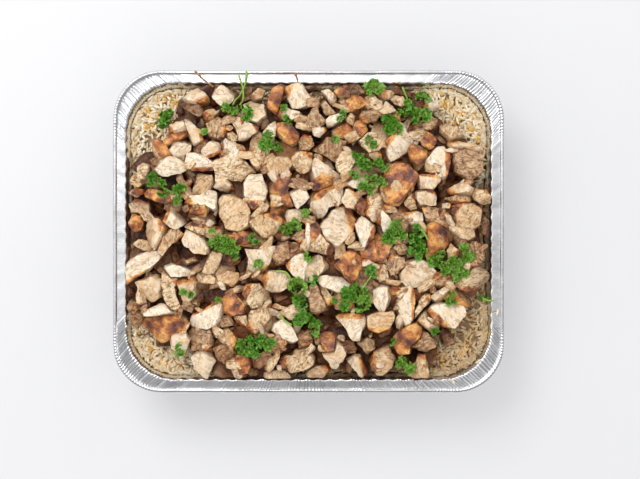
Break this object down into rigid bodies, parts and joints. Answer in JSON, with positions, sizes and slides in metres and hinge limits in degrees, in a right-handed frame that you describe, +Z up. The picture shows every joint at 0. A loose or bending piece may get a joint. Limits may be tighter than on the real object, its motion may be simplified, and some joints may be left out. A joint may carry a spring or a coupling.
{
  "type": "chicken over rice in foil tray",
  "caption": "Half-size foil catering tray filled with seasoned rice and a heap of chopped grilled chicken with herbs.",
  "frame": {"origin": "on the surface the tray stands on, under the middle of the tray", "axes": "+X along the tray's long side, +Z up"},
  "size_m": [0.324, 0.267, 0.0842],
  "materials": {
    "foil": "bright thin pressed foil with crimped corners",
    "rice": "moist cooked long grains",
    "chicken": "moist chopped meat with seared faces",
    "herb": "fresh curly leaves"
  },
  "bodies": {
    "root": {"foil_tray": "foil", "rice_bed": "rice", "chicken_heap": "chicken"}
  },
  "joints": []
}
